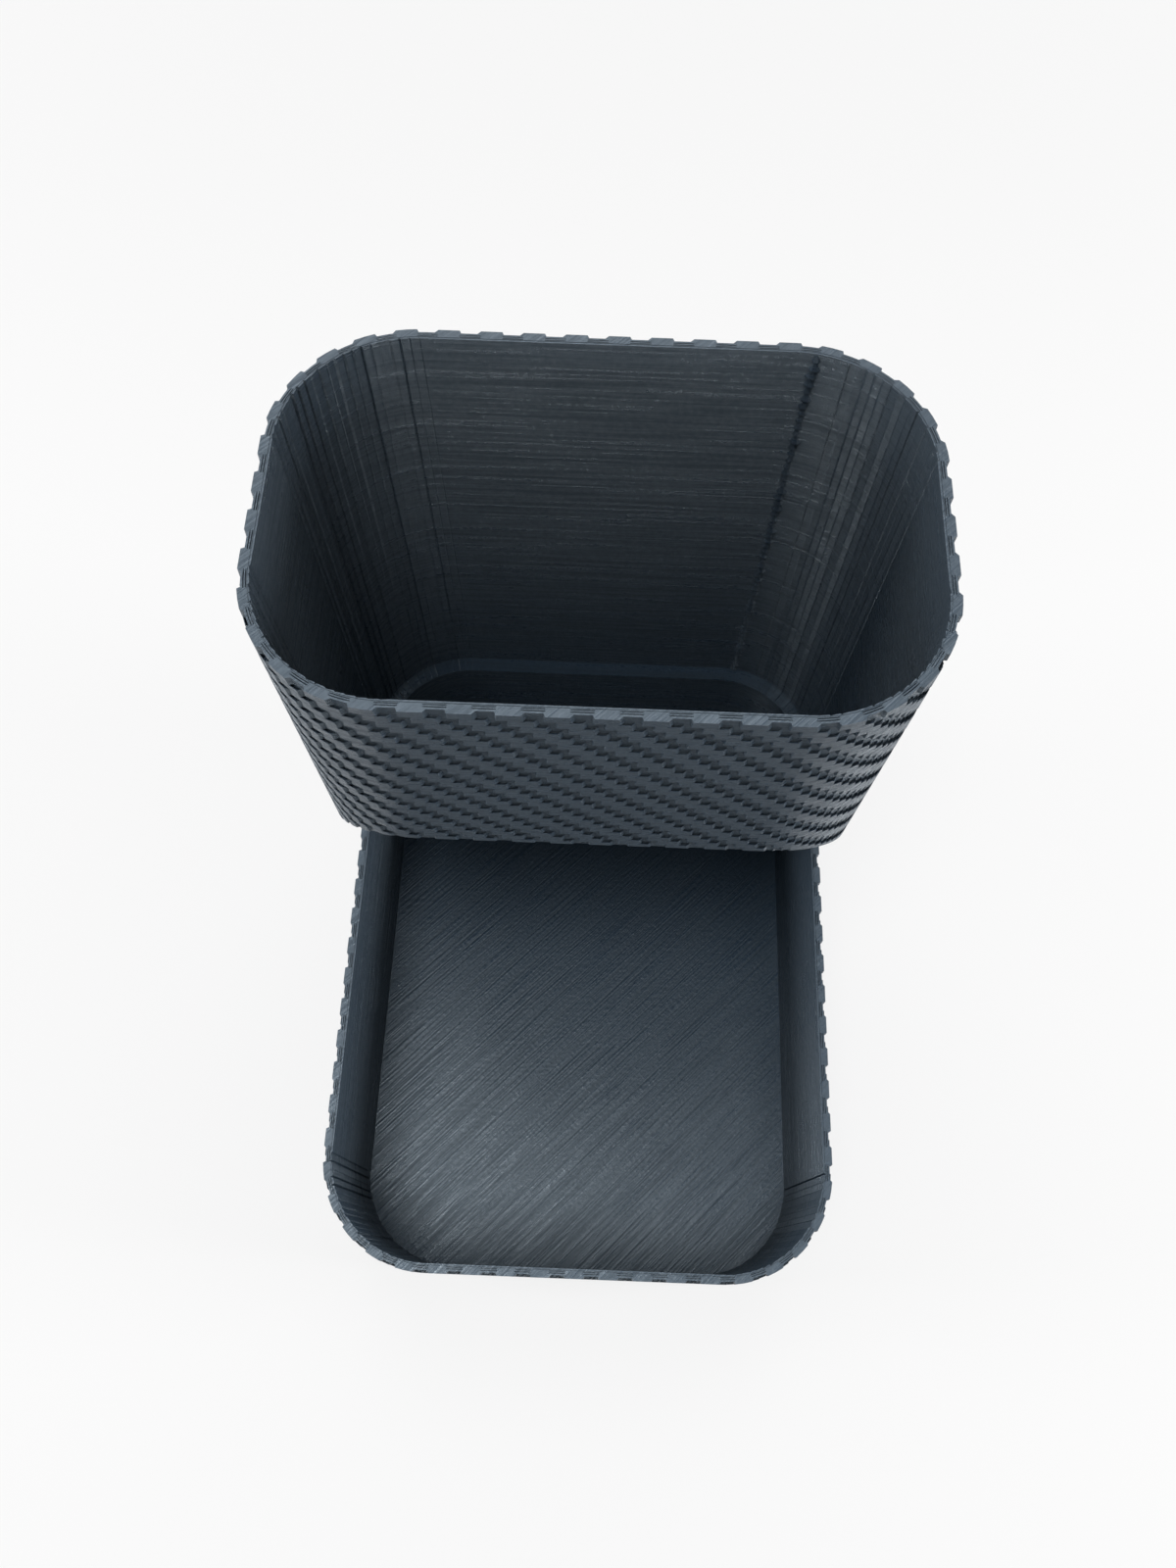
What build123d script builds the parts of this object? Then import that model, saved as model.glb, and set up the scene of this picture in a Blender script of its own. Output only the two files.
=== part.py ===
from build123d import *
import math
import os

# A free-standing two-tier holder for coffee capsules: a deep open tub, and an upper bin that drops into
# the rear of the tub. Millimetres, +Z up, front towards -Y, origin on the worktop under the middle of the tub.

# Plan of both bins
BIN_W = 130.0
CORNER_R = 28.4
LOWER_D = 172.0
UPPER_D = 84.0

# Heights
LOWER_H = 64.0
RIM_STEP = 134.0
UPPER_FRONT_H = 63.0

# The upper bin's underside slopes down towards the back at this angle from level
SLOPE_DEG = 60.0

# Printed shell
WALL = 2.3
FLOOR_T = 2.4
BASE_CHAMFER = 0.8

# Upper bin's seat in the lower bin
DROP_IN_GAP = 0.35
SEAT_GAP = 0.2
TOE_GAP = 0.6
SHOULDER_T = 1.2

# Woven relief outside: slanting grooves, with ribs of the same width between them. A groove is two columns of the
# weave wide and two rows high, and lies one column further to the right in each lower row
COLUMN_W = 2.1
ROW_H = 2.193
GROOVE_COLUMNS = 2
GROOVE_DEPTH = 0.7

# Columns from the middle of the back to the middle of a groove, at the upper rim
FIRST_GROOVE = 0.5

# Rubber feet, let into the underside
FOOT_R = 6.0
FOOT_T = 3.0
FOOT_RECESS = 1.0
FOOT_GAP = 0.15
FOOT_ROUND = 0.8

# Levels and planes that follow from the sizes above
BASE_Z = FOOT_T - FOOT_RECESS
LOWER_FLOOR_Z = BASE_Z + FLOOR_T
LOWER_RIM_Z = BASE_Z + LOWER_H
UPPER_RIM_Z = LOWER_RIM_Z + RIM_STEP
SLOPE_TOP_Z = UPPER_RIM_Z - UPPER_FRONT_H
SHOULDER_Z = LOWER_RIM_Z + SEAT_GAP
TOE_Z = LOWER_FLOOR_Z + TOE_GAP
BACK_Y = LOWER_D / 2
UPPER_FRONT_Y = BACK_Y - UPPER_D

# The leg inside the tub stands this far in from the outside of the bins
LEG_INSET = WALL + DROP_IN_GAP

# Overshoot of cutting tools past the surfaces that they cut
CUT = 1.0

# Lengths under this are only rounding
TINY = 0.001


def prism(depth, inset, z_low, z_high):
    """Upright rounded-rectangle block, its sides inset from the bins' outside, against the common back."""
    plan = RectangleRounded(BIN_W - 2 * inset, depth - 2 * inset, CORNER_R - inset)
    return extrude(Pos(0, BACK_Y - depth / 2, z_low) * plan, amount=z_high - z_low)


def plan_stretches(depth):
    """Stretches of a bin's plan, anticlockwise from the middle of its back.

    Each is a length, a centre, the way that its start faces in degrees, and whether it is curved. The plan lies
    a corner radius out from the centre, and a straight stretch's centre moves along with it.
    """
    x = BIN_W / 2 - CORNER_R
    back, front = BACK_Y - CORNER_R, BACK_Y - depth + CORNER_R
    bend = math.pi / 2 * CORNER_R
    return [
        (x, (0, back), 90, False),
        (bend, (-x, back), 90, True),
        (back - front, (-x, back), 180, False),
        (bend, (-x, front), 180, True),
        (2 * x, (-x, front), 270, False),
        (bend, (x, front), 270, True),
        (back - front, (x, front), 0, False),
        (bend, (x, back), 0, True),
        (x, (x, back), 90, False),
    ]


def plan_length(depth):
    """Distance round the outside of a bin."""
    return sum(length for length, *_ in plan_stretches(depth))


def groove(depth, start, length, z_start, fall):
    """Cutter for one groove, from a distance round the plan, which falls so far for each millimetre along it."""
    skip = start % plan_length(depth)
    left, z = length, z_start
    profile = Rectangle(GROOVE_DEPTH + CUT, GROOVE_COLUMNS * ROW_H)
    section, edges = None, []
    for span, (x, y), facing, curved in plan_stretches(depth) * 2:
        run = min(span - skip, left)
        if run > TINY:
            turn = math.degrees(skip / CORNER_R) if curved else 0
            along = 0 if curved else skip
            here = Pos(x, y, z) * Rot(0, 0, facing + turn) * Pos(0, along, 0)
            if not edges:
                section = here * (Plane.XZ * Pos(CORNER_R + (CUT - GROOVE_DEPTH) / 2, 0) * profile)
            if curved:
                lap = 2 * math.pi * CORNER_R * fall
                edges.append(here * Rot(180, 0, 0) * Helix(lap, run * fall, CORNER_R, lefthand=True))
            else:
                edges.append(here * Line((CORNER_R, 0, 0), (CORNER_R, run, -run * fall)))
            z -= run * fall
            left -= run
        skip = max(skip - span, 0)
    path = Wire(edges)
    return sweep(section, path=path, binormal=Pos(0, 0, depth) * path)


def grooves(depth, z_low, z_high, rows_above):
    """Cutters for all the grooves round a bin, past its lower and its upper end."""
    around = plan_length(depth)
    count = round(around / (2 * GROOVE_COLUMNS * COLUMN_W))
    column = around / (2 * GROOVE_COLUMNS * count)
    rows_past = GROOVE_COLUMNS
    rows = (z_high - z_low) / ROW_H + 2 * rows_past
    first = (FIRST_GROOVE + rows_above - rows_past) * column
    return [
        groove(depth, first + i * around / count, rows * column, z_high + rows_past * ROW_H, ROW_H / column)
        for i in range(count)
    ]


def below_slope(thickness):
    """Everything under the sloping underside, moved up by a wall thickness at right angles to it."""
    slope = math.radians(SLOPE_DEG)
    top_z = SLOPE_TOP_Z + thickness / math.cos(slope)

    def height(y):
        return top_z - (y - UPPER_FRONT_Y) * math.tan(slope)

    front, back = UPPER_FRONT_Y - CUT, BACK_Y + CUT
    floor_z = min(height(back), BASE_Z) - CUT
    corners = [(front, floor_z), (front, height(front)), (back, height(back)), (back, floor_z)]
    face = make_face(Plane.YZ * Polyline(*corners, close=True))
    return extrude(face, amount=BIN_W, both=True)


def foot_places():
    """Foot name and centre: the feet are concentric with the tub's corners."""
    x = BIN_W / 2 - CORNER_R
    y = LOWER_D / 2 - CORNER_R
    return {
        "foot_front_left": (-x, -y),
        "foot_front_right": (x, -y),
        "foot_rear_left": (-x, y),
        "foot_rear_right": (x, y),
    }


def lower_bin():
    """Deep tub with a flat floor and a recess for each foot. Its grooves carry on from the upper bin's."""
    shell = prism(LOWER_D, 0, BASE_Z, LOWER_RIM_Z)
    shell = chamfer(shell.faces().sort_by(Axis.Z)[0].edges(), BASE_CHAMFER)
    rows_above = round((UPPER_RIM_Z - SHOULDER_Z) / ROW_H)
    shell -= grooves(LOWER_D, BASE_Z, LOWER_RIM_Z, rows_above)
    tub = shell - prism(LOWER_D, WALL, LOWER_FLOOR_Z, LOWER_RIM_Z + CUT)
    for x, y in foot_places().values():
        tub -= Pos(x, y, BASE_Z) * Cylinder(FOOT_R + FOOT_GAP, 2 * FOOT_RECESS)
    return tub


def upper_bin():
    """Upper tier: full-width bin above the tub's rim, and a narrower leg below it, inside the tub."""
    bin_block = prism(UPPER_D, 0, SHOULDER_Z, UPPER_RIM_Z)
    leg_block = prism(UPPER_D, LEG_INSET, TOE_Z, SHOULDER_Z + SHOULDER_T)
    outside = bin_block + leg_block - below_slope(0)
    outside -= grooves(UPPER_D, SHOULDER_Z, UPPER_RIM_Z, 0)

    # Inside, a sloping ring leads from the bin into the leg
    bin_hollow = prism(UPPER_D, WALL, SHOULDER_Z + SHOULDER_T, UPPER_RIM_Z + CUT)
    bin_hollow = chamfer(bin_hollow.faces().sort_by(Axis.Z)[0].edges(), LEG_INSET)
    leg_hollow = prism(UPPER_D, LEG_INSET + WALL, TOE_Z + FLOOR_T, SHOULDER_Z + SHOULDER_T + CUT)
    inside = bin_hollow + leg_hollow - below_slope(WALL)
    return outside - inside


def foot(x, y):
    """Low rubber disc with a rounded lower edge."""
    disc = Pos(x, y, FOOT_T / 2) * Cylinder(FOOT_R, FOOT_T)
    return fillet(disc.faces().sort_by(Axis.Z)[0].edges(), FOOT_ROUND)


os.makedirs("parts", exist_ok=True)
export_step(lower_bin(), "parts/lower_bin.step")
export_step(upper_bin(), "parts/upper_bin.step")
for name, (foot_x, foot_y) in foot_places().items():
    export_step(foot(foot_x, foot_y), f"parts/{name}.step")
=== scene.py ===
import math
import random

import bmesh
import bpy
import numpy as np
from mathutils import Matrix, Vector


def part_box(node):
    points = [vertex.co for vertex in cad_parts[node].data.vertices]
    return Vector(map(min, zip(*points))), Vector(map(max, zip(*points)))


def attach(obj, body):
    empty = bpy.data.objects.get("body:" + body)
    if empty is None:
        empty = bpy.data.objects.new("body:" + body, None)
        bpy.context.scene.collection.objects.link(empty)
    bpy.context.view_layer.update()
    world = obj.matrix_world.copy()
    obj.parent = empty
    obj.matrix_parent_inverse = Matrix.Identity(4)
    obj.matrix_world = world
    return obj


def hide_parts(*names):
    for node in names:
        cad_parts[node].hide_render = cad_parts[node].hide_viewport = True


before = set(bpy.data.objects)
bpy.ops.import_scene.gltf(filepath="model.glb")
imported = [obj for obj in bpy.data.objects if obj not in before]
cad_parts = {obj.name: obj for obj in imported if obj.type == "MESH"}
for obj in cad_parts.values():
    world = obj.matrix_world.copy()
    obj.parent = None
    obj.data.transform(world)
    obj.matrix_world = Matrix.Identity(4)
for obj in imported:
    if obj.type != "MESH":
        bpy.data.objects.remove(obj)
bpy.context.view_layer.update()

# Shapes are worked out in millimetres and put in place in metres
MM = 0.001

# Printed shell, as in the solids
CORNER_R = 28.4
WALL = 2.3
FLOOR_T = 2.4
BASE_CHAMFER = 0.8
UPPER_FRONT_H = 63.0
SLOPE = math.radians(60.0)
LEG_INSET = WALL + 0.35
SEAT_GAP = 0.2
SHOULDER_T = 1.2
FOOT_GAP = 0.15

# Woven relief: two cells up, two cells down, one cell further to the right in each lower row
CELL_W = 2.1
ROW_H = 2.193
TWILL = 4
PHASE = 2
RELIEF = 0.7
LEDGE = 0.2
JOIN = 0.05

# Sloping ends of a pair of raised cells: their reach along the wall, and how much further out their feet lie
LEFT_FLANK, LEFT_SLANT = 0.3, 0.15
RIGHT_FLANK, RIGHT_SLANT = 0.7, 0.35

# Where a cell's left and right edges lie, in from its sides, for each place in the twill: at its top, and how
# much further in at its foot
LEFT_EDGE = np.array([0, JOIN, RIGHT_FLANK, JOIN])
LEFT_FOOT = np.array([-LEFT_SLANT, 0, RIGHT_SLANT, 0])
RIGHT_EDGE = np.array([JOIN, 0, JOIN, LEFT_FLANK])
RIGHT_FOOT = np.array([0, -RIGHT_SLANT, 0, LEFT_SLANT])

# Top of a raised cell that nothing covers: a thin lip with an open pit behind it
LIP = 0.12
PIT_DEPTH = 1.7
PIT_TAPER = 0.02

# Open grooves between the printed lines on top of the thin stretches of rim, and one all the way round
GROOVES = (1.12, 1.56)
GROOVE_W = 0.14
GROOVE_DEPTH = 0.6
GROOVE_EDGE = 0.04
ROUND_GROOVE = 1.88
ROUND_GROOVE_W = 0.08
ROUND_GROOVE_DEPTH = 0.15

# Upright strips inside the rounded corners, one to each column of cells, tilted at random, with a groove of
# random depth after each, and shallower towards the back and front
FLUTE_START = 0.72
FLUTE_MIDDLE = 0.86
FLUTE_DEPTH = 1.0
FLUTE_TILT = 0.4
FLUTE_LEAST = 0.3
FLUTE_SEED = 3

# Print seam and a fine upright line inside the upper bin's rear right corner: degrees round it from the back,
# least and most half width at the root, least and most height off the wall, and sway to either side
SEAM_ANGLE = 9.7
SEAM_HALF_W = 0.9, 2.2
SEAM_PROUD = 0.0, 0.9
SEAM_SWAY = 0.2
LINE_ANGLE = 24.2
LINE_HALF_W = 0.25, 0.3
LINE_PROUD = 0.28, 0.35
LINE_SWAY = 0.03

# Their beads: half the height of one, then shares: how far its fullest place hangs down, how wide its flat
# front is, and how full the leanest one is
BEAD_STEP = 1.1
BEAD_DROOP = 0.55
BEAD_FLAT = 0.25
BEAD_LEAST = 0.5
BEAD_SEED = 7

# Overshoot of cutting shapes past what they cut
CUT = 1.0

# Points that a cut leaves closer together than this are one point
WELD = 0.0005

# Numbers under this are only rounding
TINY = 1e-6


def box_mm(node):
    """Lowest and highest corner of a node, in millimetres."""
    low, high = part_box(node)
    return Vector(low) / MM, Vector(high) / MM


lower_low, lower_high = box_mm("lower_bin")
upper_low, upper_high = box_mm("upper_bin")
BIN_W = lower_high.x - lower_low.x
LOWER_D = lower_high.y - lower_low.y
UPPER_D = upper_high.y - upper_low.y
BACK_Y = lower_high.y
BASE_Z = lower_low.z
LOWER_RIM_Z = lower_high.z
UPPER_RIM_Z = upper_high.z
TOE_Z = upper_low.z
SHOULDER_Z = LOWER_RIM_Z + SEAT_GAP
UPPER_FRONT_Y = BACK_Y - UPPER_D
SLOPE_TOP_Z = UPPER_RIM_Z - UPPER_FRONT_H


# Plan outline of a bin

def outline_length(depth):
    """Distance round the outside of a bin of that depth."""
    return 2 * (BIN_W + depth) - 8 * CORNER_R + 2 * math.pi * CORNER_R


def outline(depth, distances):
    """Points and outward directions at distances round a bin's outside, from the middle of its back."""
    across = BIN_W / 2 - CORNER_R
    along = depth - 2 * CORNER_R
    bend = math.pi * CORNER_R / 2
    back, front = BACK_Y - CORNER_R, BACK_Y - depth + CORNER_R
    # Length of each stretch, its straight start or its arc's centre, and the way it faces at its start
    stretches = [
        (across, (0, back), 90, False),
        (bend, (-across, back), 90, True),
        (along, (-across, back), 180, False),
        (bend, (-across, front), 180, True),
        (2 * across, (-across, front), 270, False),
        (bend, (across, front), 270, True),
        (along, (across, front), 0, False),
        (bend, (across, back), 0, True),
        (across, (across, back), 90, False),
    ]
    points, facings = [], []
    for distance in distances:
        for length, (x, y), degrees, curved in stretches:
            if distance <= length:
                break
            distance -= length
        facing = math.radians(degrees) + (distance / CORNER_R if curved else 0)
        out = np.array([math.cos(facing), math.sin(facing)])
        ahead = np.array([-out[1], out[0]])
        points.append(np.array([x, y]) + CORNER_R * out + (0 if curved else distance) * ahead)
        facings.append(out)
    return np.array(points), np.array(facings)


def ring(plan, facings, inset, z):
    """Closed ring of points at an inset (one number, or one for each point) and a height."""
    flat = plan - facings * np.reshape(np.broadcast_to(inset, len(plan)), (-1, 1))
    return np.column_stack([flat, np.broadcast_to(z, len(plan))])


# Meshes

def mesh_object(name, points, faces):
    mesh = bpy.data.meshes.new(name)
    mesh.from_pydata([tuple(p) for p in points], [], faces)
    mesh.validate()
    mesh.update()
    piece = bpy.data.objects.new(name, mesh)
    bpy.context.collection.objects.link(piece)
    return piece


def solid_from_rings(name, rings):
    """Closed solid through rings of equal count, from the lowest, each anticlockwise from above."""
    count = len(rings[0])
    faces = [tuple(reversed(range(count)))]
    for level in range(len(rings) - 1):
        here, above = level * count, (level + 1) * count
        for i in range(count):
            j = (i + 1) % count
            faces.append((here + i, here + j, above + j, above + i))
    last = (len(rings) - 1) * count
    faces.append(tuple(range(last, last + count)))
    return mesh_object(name, np.concatenate(rings), faces)


def combine(target, tool, operation):
    """Joins the tool to the target, or cuts it out, and removes the tool."""
    step = target.modifiers.new("combine", "BOOLEAN")
    step.operation = operation
    step.solver = "MANIFOLD"
    step.object = tool
    bpy.context.view_layer.update()
    done = target.evaluated_get(bpy.context.evaluated_depsgraph_get())
    mesh = bpy.data.meshes.new_from_object(done)
    target.modifiers.clear()
    target.data = mesh
    bpy.data.objects.remove(tool)
    return target


def woven_block(name, depth, z_low, z_top, rows_above, base_inset):
    """Solid block with the woven relief on its sides and the printed rim's grooves round its top."""
    length = outline_length(depth)
    columns = TWILL * round(length / (TWILL * CELL_W))
    pitch = length / columns
    starts = np.arange(columns) * pitch

    # A twill repeats, so there are few kinds of row: the outlines of its top and foot, and its relief
    kinds = []
    for shift in range(TWILL):
        place = (np.arange(columns) - shift - rows_above + PHASE) % TWILL
        low = np.repeat(place >= TWILL // 2, 2)
        ledge = np.repeat(place == TWILL // 2 - 1, 2)
        left, right = starts + LEFT_EDGE[place], starts + pitch - RIGHT_EDGE[place]
        top_edges = np.column_stack([left, right])
        foot_edges = np.column_stack([left + LEFT_FOOT[place], right - RIGHT_FOOT[place]])
        ends = [outline(depth, edges.ravel() % length) for edges in (top_edges, foot_edges)]
        kinds.append((*ends, low, ledge))

    # Woven sides, from the top row down
    sides = []
    rows = math.ceil((z_top - z_low - LEDGE) / ROW_H)
    for row in range(rows):
        (plan, facings), foot, low, ledge = kinds[row % TWILL]
        inset = np.where(low, RELIEF, 0.0)
        top = z_top - row * ROW_H - (LEDGE / 2 if row else 0)
        bottom = z_low if row == rows - 1 else z_top - (row + 1) * ROW_H + LEDGE / 2
        if row:
            # Back and front of each pit at its bottom, then its lip. Other columns climb the ledge meanwhile
            pit_bottom = max(top - PIT_DEPTH, bottom + LIP)
            for step, pit_inset, pit_z in (
                (0.75, RELIEF - PIT_TAPER, pit_bottom),
                (0.5, LIP + PIT_TAPER, pit_bottom),
                (0.25, LIP, top),
            ):
                z = np.where(ledge, pit_z, top + step * LEDGE)
                sides.append(ring(plan, facings, np.where(ledge, pit_inset, inset), z))
        sides += [ring(plan, facings, inset, top), ring(*foot, inset, bottom)]
    if base_inset:
        sides.append(ring(*foot, base_inset, z_low - base_inset))
    sides.reverse()

    # Top of the rim, from the outside in
    (plan, facings), _, thin, _ = kinds[0]
    everywhere = np.ones_like(thin)
    rim = []
    for start, width, deep, where in (
        (GROOVES[0], GROOVE_W, GROOVE_DEPTH, thin),
        (GROOVES[1], GROOVE_W, GROOVE_DEPTH, thin),
        (ROUND_GROOVE, ROUND_GROOVE_W, ROUND_GROOVE_DEPTH, everywhere),
    ):
        bottom = z_top - np.where(where, deep, 0.0)
        end = start + width
        rim.append(ring(plan, facings, start - GROOVE_EDGE, z_top))
        rim.append(ring(plan, facings, start, bottom))
        rim.append(ring(plan, facings, end, bottom))
        rim.append(ring(plan, facings, end + GROOVE_EDGE, z_top))
    rim.append(ring(plan, facings, WALL + CUT, z_top))
    return solid_from_rings(name, sides + rim)


def plain_block(name, depth, levels, fluted=False):
    """Block with the bin's plan, through (inset, height) pairs from the lowest. Its corners may be fluted."""
    length = outline_length(depth)
    columns = round(length / CELL_W)
    pitch = length / columns
    starts = np.arange(columns) * pitch
    distances = np.column_stack([starts, starts + FLUTE_START * pitch, starts + FLUTE_MIDDLE * pitch])
    plan, facings = outline(depth, distances.ravel())
    shift = np.zeros(distances.shape)
    if fluted:
        luck = np.random.default_rng(FLUTE_SEED)
        shift[:, 0] = -FLUTE_TILT * luck.random(columns)
        shift[:, 2] = -FLUTE_DEPTH * luck.random(columns) ** 2
    curved = np.abs(facings[:, 0] * facings[:, 1]) > TINY
    from_back = np.degrees(np.arctan2(facings[:, 0], facings[:, 1]))
    beside_seam = (from_back > 0) & (from_back < LINE_ANGLE)
    fade = FLUTE_LEAST + (1 - FLUTE_LEAST) * np.abs(facings[:, 0])
    shift = np.where(curved & ~beside_seam, fade * shift.ravel(), 0.0)
    return solid_from_rings(name, [ring(plan, facings, inset + shift, z) for inset, z in levels])


def below_slope(name, thickness):
    """Everything under the sloping underside, moved up by a thickness at right angles to it."""
    top_z = SLOPE_TOP_Z + thickness / math.cos(SLOPE)
    side = BIN_W
    ends = UPPER_FRONT_Y - CUT, BACK_Y + CUT
    heights = [top_z - (y - UPPER_FRONT_Y) * math.tan(SLOPE) for y in ends]
    floor_z = min(*heights, BASE_Z) - CUT
    rings = [np.array([(-side, y, floor_z), (-side, y, z), (side, y, z), (side, y, floor_z)])
             for y, z in zip(ends, heights)]
    return solid_from_rings(name, rings)


def upright_ridge(name, degrees, half_width, proud, sway, z_low, z_high):
    """Beaded upright ridge inside the rear right corner. Widths and heights are (least, most) pairs."""
    luck = random.Random(BEAD_SEED)
    angle = math.radians(degrees)
    out = np.array([math.sin(angle), math.cos(angle)])
    along = np.array([math.cos(angle), -math.sin(angle)])
    wall = np.array([BIN_W / 2 - CORNER_R, BACK_Y - CORNER_R]) + out * (CORNER_R - WALL)
    root = WALL / 3
    rings = []
    for step, z in enumerate(np.arange(z_low, z_high, BEAD_STEP)):
        middle = luck.uniform(-sway, sway)
        swell = luck.uniform(BEAD_LEAST, 1) if step % 2 else 0
        z -= BEAD_DROOP * BEAD_STEP if step % 2 else 0
        half = np.interp(swell, (0, 1), half_width)
        top = -np.interp(swell, (0, 1), proud)
        flat = BEAD_FLAT * half
        corners = [(-half, root), (-flat, top), (flat, top), (half, root)]
        rings.append(np.array([(*(wall + (middle + a) * along + b * out), z) for a, b in corners]))
    return solid_from_rings(name, rings)


def weld(mesh):
    """Joins the points that cuts left almost on top of each other."""
    work = bmesh.new()
    work.from_mesh(mesh)
    bmesh.ops.remove_doubles(work, verts=work.verts, dist=WELD)
    work.to_mesh(mesh)
    work.free()


def finish_piece(piece, body, nodes, material):
    """Puts a piece made in millimetres in place and says what it stands for."""
    weld(piece.data)
    piece.data.transform(Matrix.Scale(MM, 4))
    piece.data.materials.clear()
    piece.data.materials.append(material)
    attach(piece, body)
    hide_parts(*nodes)


# Node helpers

def new_material(name):
    material = bpy.data.materials.new(name)
    material.use_nodes = True
    tree = material.node_tree
    return material, tree.nodes, tree.links, tree.nodes["Principled BSDF"]


def math_node(nodes, links, operation, first, second=None):
    """Math node on sockets or numbers."""
    node = nodes.new("ShaderNodeMath")
    node.operation = operation
    for socket, value in zip(node.inputs, (first, second)):
        if hasattr(value, "links"):
            links.new(value, socket)
        elif value is not None:
            socket.default_value = value
    return node.outputs[0]


def ramp_node(nodes, links, value, stops):
    """Colour ramp with (position, grey or colour) stops."""
    node = nodes.new("ShaderNodeValToRGB")
    elements = node.color_ramp.elements
    while len(elements) < len(stops):
        elements.new(0.5)
    for element, (position, colour) in zip(elements, stops):
        element.position = position
        element.color = (*colour, 1) if isinstance(colour, tuple) else (colour, colour, colour, 1)
    links.new(value, node.inputs["Fac"])
    return node.outputs["Color"]


def pick(nodes, links, choice, first, second):
    """The first value where the choice is 0, the second where it is 1."""
    node = nodes.new("ShaderNodeMix")
    node.data_type = "FLOAT"
    for socket, value in (("Factor", choice), ("A", first), ("B", second)):
        links.new(value, node.inputs[socket])
    return node.outputs["Result"]


# Materials

# Printed layers: their thickness, the height of their round edges, and the streaks of uneven ones
LAYER_H = 0.1 * MM
LAYER_EDGE = 0.03 * MM
LAYER_STREAK_W = 0.8 * MM
LAYER_STREAK = 0.28 * MM

# Lines of filament on level faces, which face this much up or down
FILAMENT_W = 0.5 * MM
FILAMENT_DEPTH = 0.22 * MM
LEVEL = 0.8

# Length of all streaks, and the grain over them
STREAK_LENGTH = 33 * MM
GRAIN_DEPTH = 0.1 * MM
GRAIN_SCALE = 900.0
GRAIN_SHARE = 0.4

# Plastic where the streaks and the grain are lowest and highest: place on their scale, colour, roughness
PLASTIC_LOW = 0.54, (0.013, 0.025, 0.040), 0.50
PLASTIC_HIGH = 0.86, (0.026, 0.045, 0.070), 0.25
SPECULAR_LEVEL = 0.7
SPECULAR_TINT = 0.82, 0.93, 1, 1

# Rubber in the same way, and its grain
RUBBER_LOW = 0.3, 0.014, 0.7
RUBBER_HIGH = 0.7, 0.026, 0.85
RUBBER_GRAIN_SCALE = 2500.0
RUBBER_GRAIN_DEPTH = 0.05 * MM
RUBBER_GRAIN_STRENGTH = 0.3


def surface_ramps(nodes, links, shader, tone, low, high):
    """Colour and roughness that follow a tone between two (place, colour, roughness) ends."""
    colour = ramp_node(nodes, links, tone, [low[:2], high[:2]])
    links.new(colour, shader.inputs["Base Color"])
    gloss = ramp_node(nodes, links, tone, [(low[0], low[2]), (high[0], high[2])])
    links.new(gloss, shader.inputs["Roughness"])


def streaks(nodes, links, place, turn, spread):
    """Noise drawn out by a different length along each axis, turned about the upright."""
    stretch = nodes.new("ShaderNodeMapping")
    stretch.vector_type = "TEXTURE"
    stretch.inputs["Rotation"].default_value = (0, 0, turn)
    stretch.inputs["Scale"].default_value = spread
    links.new(place, stretch.inputs["Vector"])
    noise = nodes.new("ShaderNodeTexNoise")
    noise.inputs["Scale"].default_value = 1.0
    noise.inputs["Detail"].default_value = 3.0
    links.new(stretch.outputs[0], noise.inputs["Vector"])
    return noise.outputs["Fac"]


def printed_plastic():
    """Printed plastic: level layer lines on the walls, slanting lines of filament on what faces up."""
    material, nodes, links, shader = new_material("printed_plastic_dark")
    place = nodes.new("ShaderNodeTexCoord").outputs["Object"]
    height = nodes.new("ShaderNodeSeparateXYZ")
    links.new(place, height.inputs[0])
    normal = nodes.new("ShaderNodeSeparateXYZ")
    links.new(nodes.new("ShaderNodeNewGeometry").outputs["True Normal"], normal.inputs[0])
    level = math_node(nodes, links, "ABSOLUTE", normal.outputs["Z"])
    level = math_node(nodes, links, "GREATER_THAN", level, LEVEL)

    turn = math_node(nodes, links, "MULTIPLY", height.outputs["Z"], 2 * math.pi / LAYER_H)
    edges = math_node(nodes, links, "SINE", turn)
    layers = streaks(nodes, links, place, 0, (STREAK_LENGTH, STREAK_LENGTH, LAYER_STREAK_W))
    lines = streaks(nodes, links, place, math.pi / 4, (STREAK_LENGTH, FILAMENT_W, STREAK_LENGTH))
    grain = nodes.new("ShaderNodeTexNoise")
    grain.inputs["Scale"].default_value = GRAIN_SCALE
    grain.inputs["Detail"].default_value = 4.0
    links.new(place, grain.inputs["Vector"])
    grain = grain.outputs["Fac"]

    # Colour and gloss follow the streaks and the grain
    streak = pick(nodes, links, level, layers, lines)
    tone = math_node(nodes, links, "ADD", streak, math_node(nodes, links, "MULTIPLY", grain, GRAIN_SHARE))
    surface_ramps(nodes, links, shader, tone, PLASTIC_LOW, PLASTIC_HIGH)
    shader.inputs["Specular IOR Level"].default_value = SPECULAR_LEVEL
    shader.inputs["Specular Tint"].default_value = SPECULAR_TINT

    # Fine relief, in metres
    wall = math_node(nodes, links, "ADD", math_node(nodes, links, "MULTIPLY", edges, LAYER_EDGE),
                     math_node(nodes, links, "MULTIPLY", layers, LAYER_STREAK))
    raster = math_node(nodes, links, "MULTIPLY", lines, FILAMENT_DEPTH)
    relief = pick(nodes, links, level, wall, raster)
    relief = math_node(nodes, links, "ADD", relief, math_node(nodes, links, "MULTIPLY", grain, GRAIN_DEPTH))
    bump = nodes.new("ShaderNodeBump")
    bump.inputs["Distance"].default_value = 1.0
    links.new(relief, bump.inputs["Height"])
    links.new(bump.outputs["Normal"], shader.inputs["Normal"])
    return material


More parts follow.
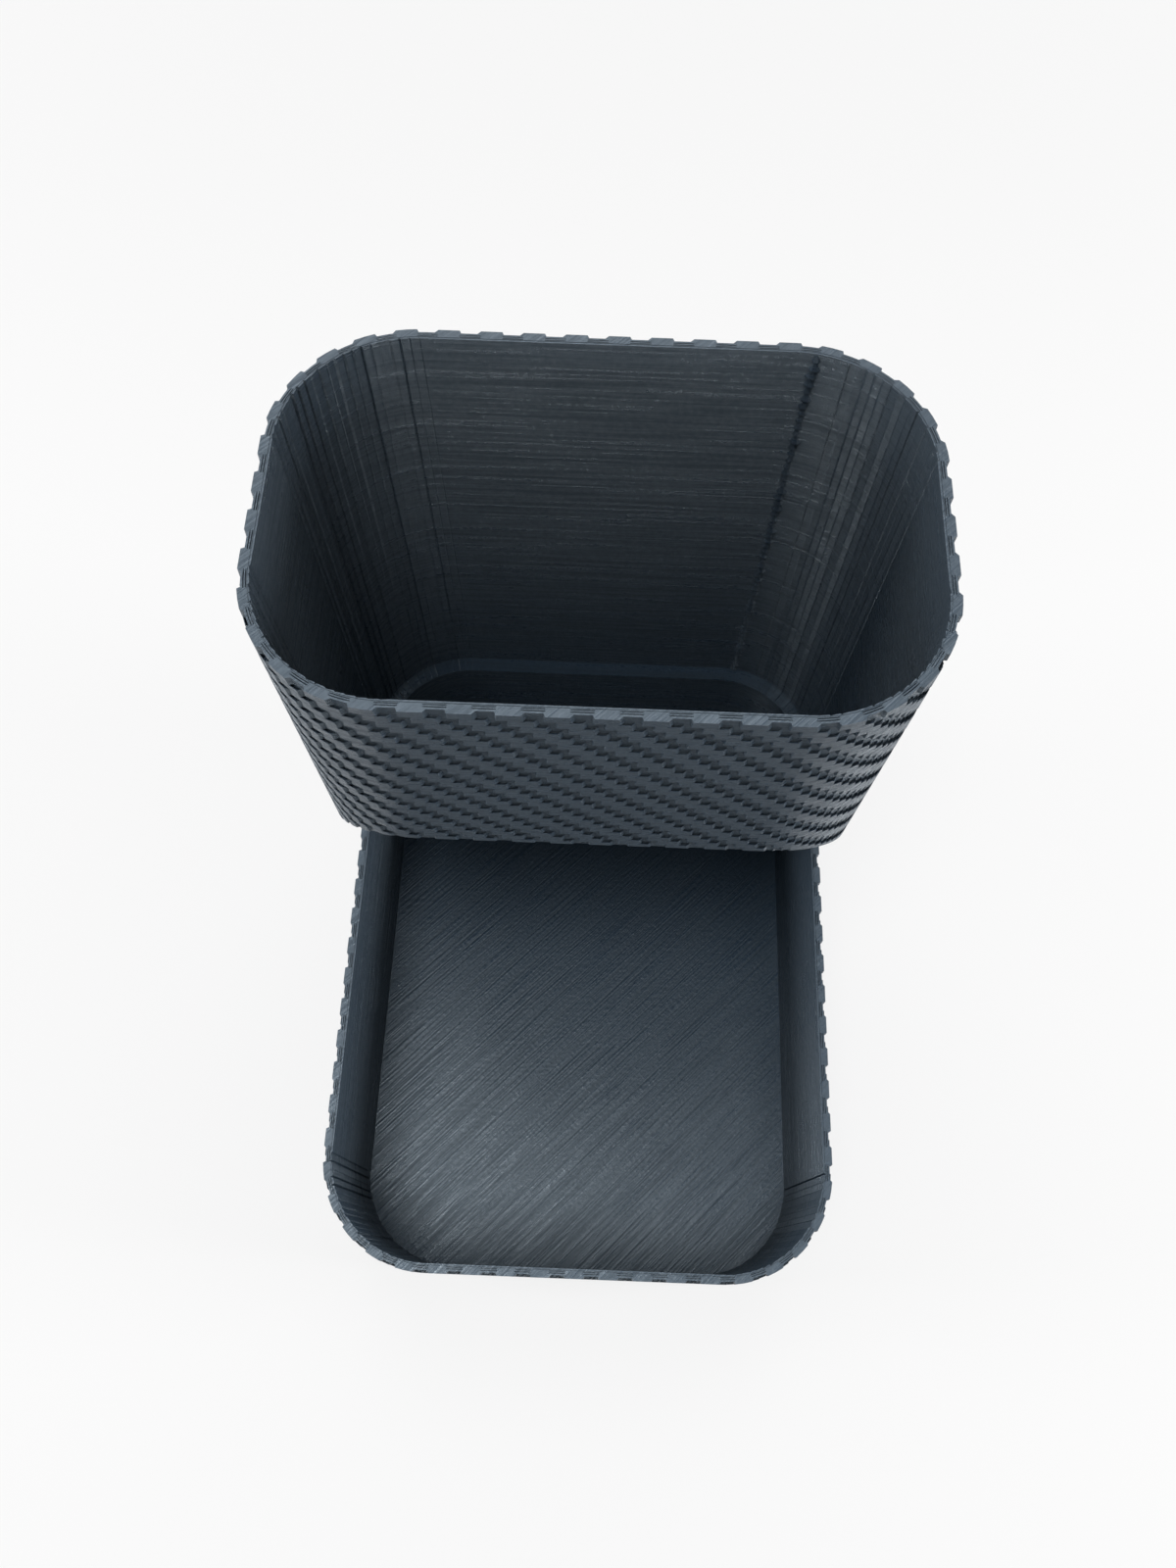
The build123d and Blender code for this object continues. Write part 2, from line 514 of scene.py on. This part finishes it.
def foot_rubber():
    """Black rubber with a fine moulded grain."""
    material, nodes, links, shader = new_material("foot_rubber_black")
    place = nodes.new("ShaderNodeTexCoord").outputs["Object"]
    grain = nodes.new("ShaderNodeTexNoise")
    grain.inputs["Scale"].default_value = RUBBER_GRAIN_SCALE
    grain.inputs["Detail"].default_value = 3.0
    links.new(place, grain.inputs["Vector"])
    surface_ramps(nodes, links, shader, grain.outputs["Fac"], RUBBER_LOW, RUBBER_HIGH)
    bump = nodes.new("ShaderNodeBump")
    bump.inputs["Strength"].default_value = RUBBER_GRAIN_STRENGTH
    bump.inputs["Distance"].default_value = RUBBER_GRAIN_DEPTH
    links.new(grain.outputs["Fac"], bump.inputs["Height"])
    links.new(bump.outputs["Normal"], shader.inputs["Normal"])
    return material


plastic = printed_plastic()
rubber = foot_rubber()


# Lower bin

FEET = ("foot_front_left", "foot_front_right", "foot_rear_left", "foot_rear_right")
FOOT_SIDES = 64


def round_block(name, middle, radii_and_heights):
    """Solid of revolution about an upright line, through (radius, height) pairs from the lowest."""
    angles = np.arange(FOOT_SIDES) * 2 * math.pi / FOOT_SIDES
    circle = np.column_stack([np.cos(angles), np.sin(angles)])
    rings = [np.column_stack([circle * radius + middle, np.full(FOOT_SIDES, z)])
             for radius, z in radii_and_heights]
    return solid_from_rings(name, rings)


def foot_shape(node):
    """Centre in plan, radius and height of a foot."""
    low, high = box_mm(node)
    middle = np.array([(low.x + high.x) / 2, (low.y + high.y) / 2])
    return middle, (high.x - low.x) / 2, high.z - low.z


def make_lower_bin():
    """Tub with the weave carried on from the upper bin, and a recess for each foot."""
    rows_above = round((UPPER_RIM_Z - SHOULDER_Z) / ROW_H)
    shell = woven_block("lower_bin_woven", LOWER_D, BASE_Z + BASE_CHAMFER, LOWER_RIM_Z,
                        rows_above, BASE_CHAMFER)
    levels = [(WALL, BASE_Z + FLOOR_T), (WALL, LOWER_RIM_Z + CUT)]
    combine(shell, plain_block("hollow", LOWER_D, levels, fluted=True), "DIFFERENCE")
    for node in FEET:
        middle, radius, height = foot_shape(node)
        hole_r = radius + FOOT_GAP
        recess = round_block("recess", middle, [(hole_r, BASE_Z - CUT), (hole_r, height)])
        combine(shell, recess, "DIFFERENCE")
    finish_piece(shell, "lower", ["lower_bin"], plastic)


# Upper bin

def make_upper_bin():
    """Woven bin on a plain leg, cut off below by the slope, with the seam inside."""
    shell = woven_block("upper_bin_woven", UPPER_D, SHOULDER_Z, UPPER_RIM_Z, 0, 0)
    ring_z = SHOULDER_Z + SHOULDER_T
    leg = plain_block("leg", UPPER_D, [(LEG_INSET, TOE_Z), (LEG_INSET, ring_z)])
    combine(shell, leg, "UNION")
    combine(shell, below_slope("underside", 0), "DIFFERENCE")

    # Inside, a sloping ring leads from the bin into the leg
    leg_inset = LEG_INSET + WALL
    wall_z = ring_z + LEG_INSET
    levels = [(leg_inset, ring_z), (WALL, wall_z), (WALL, UPPER_RIM_Z + CUT)]
    hollow = plain_block("hollow", UPPER_D, levels, fluted=True)
    leg_levels = [(leg_inset, TOE_Z + FLOOR_T), (leg_inset, ring_z + CUT)]
    combine(hollow, plain_block("leg_hollow", UPPER_D, leg_levels), "UNION")
    combine(hollow, below_slope("sloping_wall", WALL), "DIFFERENCE")
    combine(shell, hollow, "DIFFERENCE")

    rim_z = UPPER_RIM_Z - JOIN
    seam = upright_ridge("seam", SEAM_ANGLE, SEAM_HALF_W, SEAM_PROUD, SEAM_SWAY, wall_z, rim_z)
    combine(shell, seam, "UNION")
    line = upright_ridge("line", LINE_ANGLE, LINE_HALF_W, LINE_PROUD, LINE_SWAY, wall_z, rim_z)
    combine(shell, line, "UNION")
    finish_piece(shell, "upper", ["upper_bin"], plastic)


# Feet

def make_foot(node):
    """Rubber disc with a waisted side, a rounded lower edge and a dished underside."""
    middle, radius, height = foot_shape(node)
    # Radius and height, from the middle of the underside outwards and up
    profile = [
        (0.35 * radius, 0.35),
        (0.62 * radius, 0.30),
        (0.72 * radius, 0.12),
        (0.80 * radius, 0.0),
        (0.90 * radius, 0.0),
        (0.965 * radius, 0.15),
        (radius, 0.5),
        (radius, 0.9),
        (0.97 * radius, 1.3),
        (0.97 * radius, height - 0.4),
        (radius, height - 0.25),
        (radius, height),
    ]
    finish_piece(round_block(node + "_pad", middle, profile), "lower", [node], rubber)


make_lower_bin()
make_upper_bin()
for foot in FEET:
    make_foot(foot)


# Floor, light and camera

# Floor: half its width, its grey, how white it is near the object, and the distances over which it turns white
FLOOR_REACH = 6.0
FLOOR_GREY = 0.7
FLOOR_PALENESS = 0.75
FLOOR_FADE = 0.35, 1.0

# Studio light: the world's level, and each lamp's name, place, target, width and watts
WORLD_LEVEL = 0.1
LAMPS = (
    ("back", (-0.05, 0.62, 1.25), (0, 0.02, 0.18), 1.0, 7.0),
    ("front", (-0.12, -0.25, 1.2), (0, 0.04, 0.18), 0.4, 6.0),
    ("left", (-0.9, -0.05, 0.22), (0, 0.03, 0.15), 0.3, 7.0),
    ("right", (0.9, -0.08, 0.22), (0, 0.03, 0.15), 0.3, 9.5),
)


def seen_directly(nodes, links):
    """1 for what the camera sees straight or in a gloss or glass, 0 for light that falls on the object."""
    path = nodes.new("ShaderNodeLightPath")
    mirrored = math_node(nodes, links, "MAXIMUM", path.outputs["Is Glossy Ray"],
                         path.outputs["Is Transmission Ray"])
    return math_node(nodes, links, "MAXIMUM", path.outputs["Is Camera Ray"], mirrored)


def make_floor():
    """Pale floor that keeps the object's shadow and turns white further away."""
    reach = FLOOR_REACH
    corners = [(-reach, -reach, 0), (reach, -reach, 0), (reach, reach, 0), (-reach, reach, 0)]
    floor = mesh_object("floor", corners, [(0, 1, 2, 3)])
    material, nodes, links, shader = new_material("pale_floor")
    shader.inputs["Base Color"].default_value = (FLOOR_GREY, FLOOR_GREY, FLOOR_GREY, 1)
    shader.inputs["Roughness"].default_value = 0.9
    shader.inputs["Specular IOR Level"].default_value = 0.1
    pale = nodes.new("ShaderNodeEmission")
    pale.inputs["Color"].default_value = (1, 1, 1, 1)
    away = nodes.new("ShaderNodeVectorMath")
    away.operation = "LENGTH"
    links.new(nodes.new("ShaderNodeTexCoord").outputs["Object"], away.inputs[0])
    fade = nodes.new("ShaderNodeMapRange")
    fade.interpolation_type = "SMOOTHSTEP"
    fade.inputs["From Min"].default_value, fade.inputs["From Max"].default_value = FLOOR_FADE
    fade.inputs["To Min"].default_value = FLOOR_PALENESS
    links.new(away.outputs["Value"], fade.inputs["Value"])
    seen = math_node(nodes, links, "MULTIPLY", seen_directly(nodes, links), fade.outputs["Result"])
    mix = nodes.new("ShaderNodeMixShader")
    links.new(seen, mix.inputs["Fac"])
    links.new(shader.outputs[0], mix.inputs[1])
    links.new(pale.outputs[0], mix.inputs[2])
    links.new(mix.outputs[0], nodes["Material Output"].inputs["Surface"])
    floor.data.materials.append(material)


def area_light(name, place, target, size, watts):
    """Round lamp at a place, turned to a target."""
    lamp = bpy.data.lights.new(name, "AREA")
    lamp.shape = "DISK"
    lamp.size = size
    lamp.energy = watts
    thing = bpy.data.objects.new(name, lamp)
    thing.location = place
    thing.rotation_euler = (Vector(target) - Vector(place)).to_track_quat("-Z", "Y").to_euler()
    bpy.context.collection.objects.link(thing)


def make_world(strength):
    """White surroundings that light the object only at the given level."""
    world = bpy.data.worlds.new("studio")
    world.use_nodes = True
    nodes, links = world.node_tree.nodes, world.node_tree.links
    background = nodes["Background"]
    background.inputs["Color"].default_value = (1, 1, 1, 1)
    seen = seen_directly(nodes, links)
    extra = math_node(nodes, links, "MULTIPLY", seen, 1 - strength)
    links.new(math_node(nodes, links, "ADD", extra, strength), background.inputs["Strength"])
    bpy.context.scene.world = world


# Camera of the photograph: place from the middle of the upper rim, in millimetres, and angles in degrees
CAMERA_FROM_RIM = Vector((0.0, -129.3, 180.0))
CAMERA_PITCH = math.radians(67.29)
CAMERA_ROLL = math.radians(-1.69)
CAMERA_YAW = math.radians(-0.52)
CAMERA_LENS = 27.0
CAMERA_SENSOR = 36.0
CAMERA_CLIP = 0.01


def make_camera():
    """Camera where the photograph was taken from."""
    forward = Vector((math.sin(CAMERA_YAW), math.cos(CAMERA_YAW), 0))
    ahead = math.cos(CAMERA_PITCH) * forward - Vector((0, 0, math.sin(CAMERA_PITCH)))
    level = Vector((math.cos(CAMERA_YAW), -math.sin(CAMERA_YAW), 0))
    down = ahead.cross(level)
    right = math.cos(CAMERA_ROLL) * level + math.sin(CAMERA_ROLL) * down
    up = math.sin(CAMERA_ROLL) * level - math.cos(CAMERA_ROLL) * down
    lens = bpy.data.cameras.new("photo_camera")
    lens.lens = CAMERA_LENS
    lens.sensor_width = CAMERA_SENSOR
    lens.clip_start = CAMERA_CLIP
    camera = bpy.data.objects.new("photo_camera", lens)
    rim_middle = Vector((0, BACK_Y - UPPER_D / 2, UPPER_RIM_Z))
    turn = Matrix((right, up, -ahead)).transposed().to_4x4()
    camera.matrix_world = Matrix.Translation((rim_middle + CAMERA_FROM_RIM) * MM) @ turn
    bpy.context.collection.objects.link(camera)
    bpy.context.scene.camera = camera


make_floor()
make_world(WORLD_LEVEL)
for lamp in LAMPS:
    area_light(*lamp)
make_camera()
bpy.context.scene.view_settings.view_transform = "Standard"
